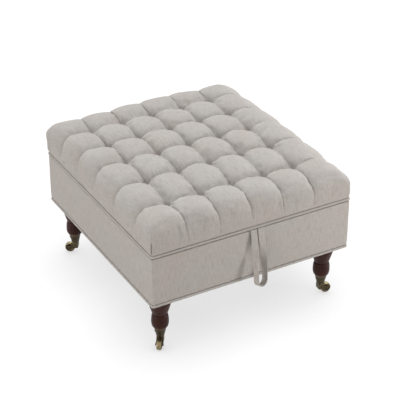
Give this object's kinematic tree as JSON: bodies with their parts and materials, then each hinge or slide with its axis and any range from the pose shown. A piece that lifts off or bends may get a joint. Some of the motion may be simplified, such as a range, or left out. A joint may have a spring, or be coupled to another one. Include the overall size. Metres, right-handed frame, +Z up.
{
  "type": "storage ottoman",
  "caption": "Storage ottoman: deep-tufted hinged lid with a fabric pull loop over a linen-covered box, on dark turned legs with brass cup castors.",
  "frame": {"origin": "on the floor, under the middle of the box", "axes": "+X to the right along the front, +Y to the back where the lid's hinges are, +Z up"},
  "size_m": [0.654, 0.7355, 0.4667],
  "materials": {
    "linen": "matte",
    "lining_cloth": "matte",
    "dust_cloth": "matte",
    "twine": "matte",
    "plywood": "matte",
    "softwood": "matte",
    "stained_wood": "satin",
    "antique_brass": "satin",
    "zinc_steel": "satin",
    "rubber_pad": "matte"
  },
  "bodies": {
    "box": {"base_piping": "linen", "front_cover": "linen", "back_cover": "linen", "left_cover": "linen", "right_cover": "linen", "storage_lining": "lining_cloth", "dust_cover": "dust_cloth", "base_board": "plywood", "front_panel": "plywood", "back_panel": "plywood", "left_panel": "plywood", "right_panel": "plywood", "corner_blocks": "softwood", "leg_front_left": "stained_wood", "leg_front_right": "stained_wood", "leg_back_left": "stained_wood", "leg_back_right": "stained_wood", "castor_cup_front_left": "antique_brass", "castor_cup_front_right": "antique_brass", "castor_cup_back_left": "antique_brass", "castor_cup_back_right": "antique_brass", "swivel_pins": "antique_brass", "cup_screws": "antique_brass", "hinge_base_leaves": "zinc_steel", "hinge_pins": "zinc_steel", "hinge_base_screws": "zinc_steel", "leg_bolts": "zinc_steel", "leg_nuts": "zinc_steel"},
    "lid": {"lid_cushion": "linen", "tuft_buttons": "linen", "tuft_twines": "twine", "lid_board": "plywood", "lid_piping": "linen", "lid_lining": "lining_cloth", "lid_bumpers": "rubber_pad", "strap_tabs": "linen", "strap_staples": "zinc_steel", "hinge_lid_leaves": "zinc_steel", "hinge_lid_screws": "zinc_steel"},
    "strap": {"pull_strap": "linen"},
    "castor_front_left": {"castor_horn_front_left": "antique_brass", "castor_axle_front_left": "antique_brass"},
    "wheel_front_left": {"castor_wheel_front_left": "antique_brass"},
    "castor_front_right": {"castor_horn_front_right": "antique_brass", "castor_axle_front_right": "antique_brass"},
    "wheel_front_right": {"castor_wheel_front_right": "antique_brass"},
    "castor_back_left": {"castor_horn_back_left": "antique_brass", "castor_axle_back_left": "antique_brass"},
    "wheel_back_left": {"castor_wheel_back_left": "antique_brass"},
    "castor_back_right": {"castor_horn_back_right": "antique_brass", "castor_axle_back_right": "antique_brass"},
    "wheel_back_right": {"castor_wheel_back_right": "antique_brass"}
  },
  "joints": [
    {"name": "lid_hinge", "type": "hinge", "parent": "box", "child": "lid", "pos_m": [0, 0.3475, 0.338], "axis": [-1, 0, 0], "range_deg": [0, 100]},
    {"name": "strap_swing", "type": "hinge", "parent": "lid", "child": "strap", "pos_m": [0.008, -0.346, 0.338], "axis": [-1, 0, 0], "range_deg": [0, 110]},
    {"name": "swivel_front_left", "type": "hinge", "parent": "box", "child": "castor_front_left", "pos_m": [-0.274, -0.2875, 0.033], "axis": [0, 0, 1], "continuous": true},
    {"name": "roll_front_left", "type": "hinge", "parent": "castor_front_left", "child": "wheel_front_left", "pos_m": [-0.28453, -0.30148, 0.016], "axis": [0.7986, -0.6018, 0], "continuous": true},
    {"name": "swivel_front_right", "type": "hinge", "parent": "box", "child": "castor_front_right", "pos_m": [0.274, -0.2875, 0.033], "axis": [0, 0, 1], "continuous": true},
    {"name": "roll_front_right", "type": "hinge", "parent": "castor_front_right", "child": "wheel_front_right", "pos_m": [0.29143, -0.28902, 0.016], "axis": [0.0872, 0.9962, 0], "continuous": true},
    {"name": "swivel_back_left", "type": "hinge", "parent": "box", "child": "castor_back_left", "pos_m": [-0.274, 0.2875, 0.033], "axis": [0, 0, 1], "continuous": true},
    {"name": "roll_back_left", "type": "hinge", "parent": "castor_back_left", "child": "wheel_back_left", "pos_m": [-0.28816, 0.29779, 0.016], "axis": [-0.5878, -0.809, 0], "continuous": true},
    {"name": "swivel_back_right", "type": "hinge", "parent": "box", "child": "castor_back_right", "pos_m": [0.274, 0.2875, 0.033], "axis": [0, 0, 1], "continuous": true},
    {"name": "roll_back_right", "type": "hinge", "parent": "castor_back_right", "child": "wheel_back_right", "pos_m": [0.28741, 0.29875, 0.016], "axis": [-0.6428, 0.766, 0], "continuous": true}
  ]
}
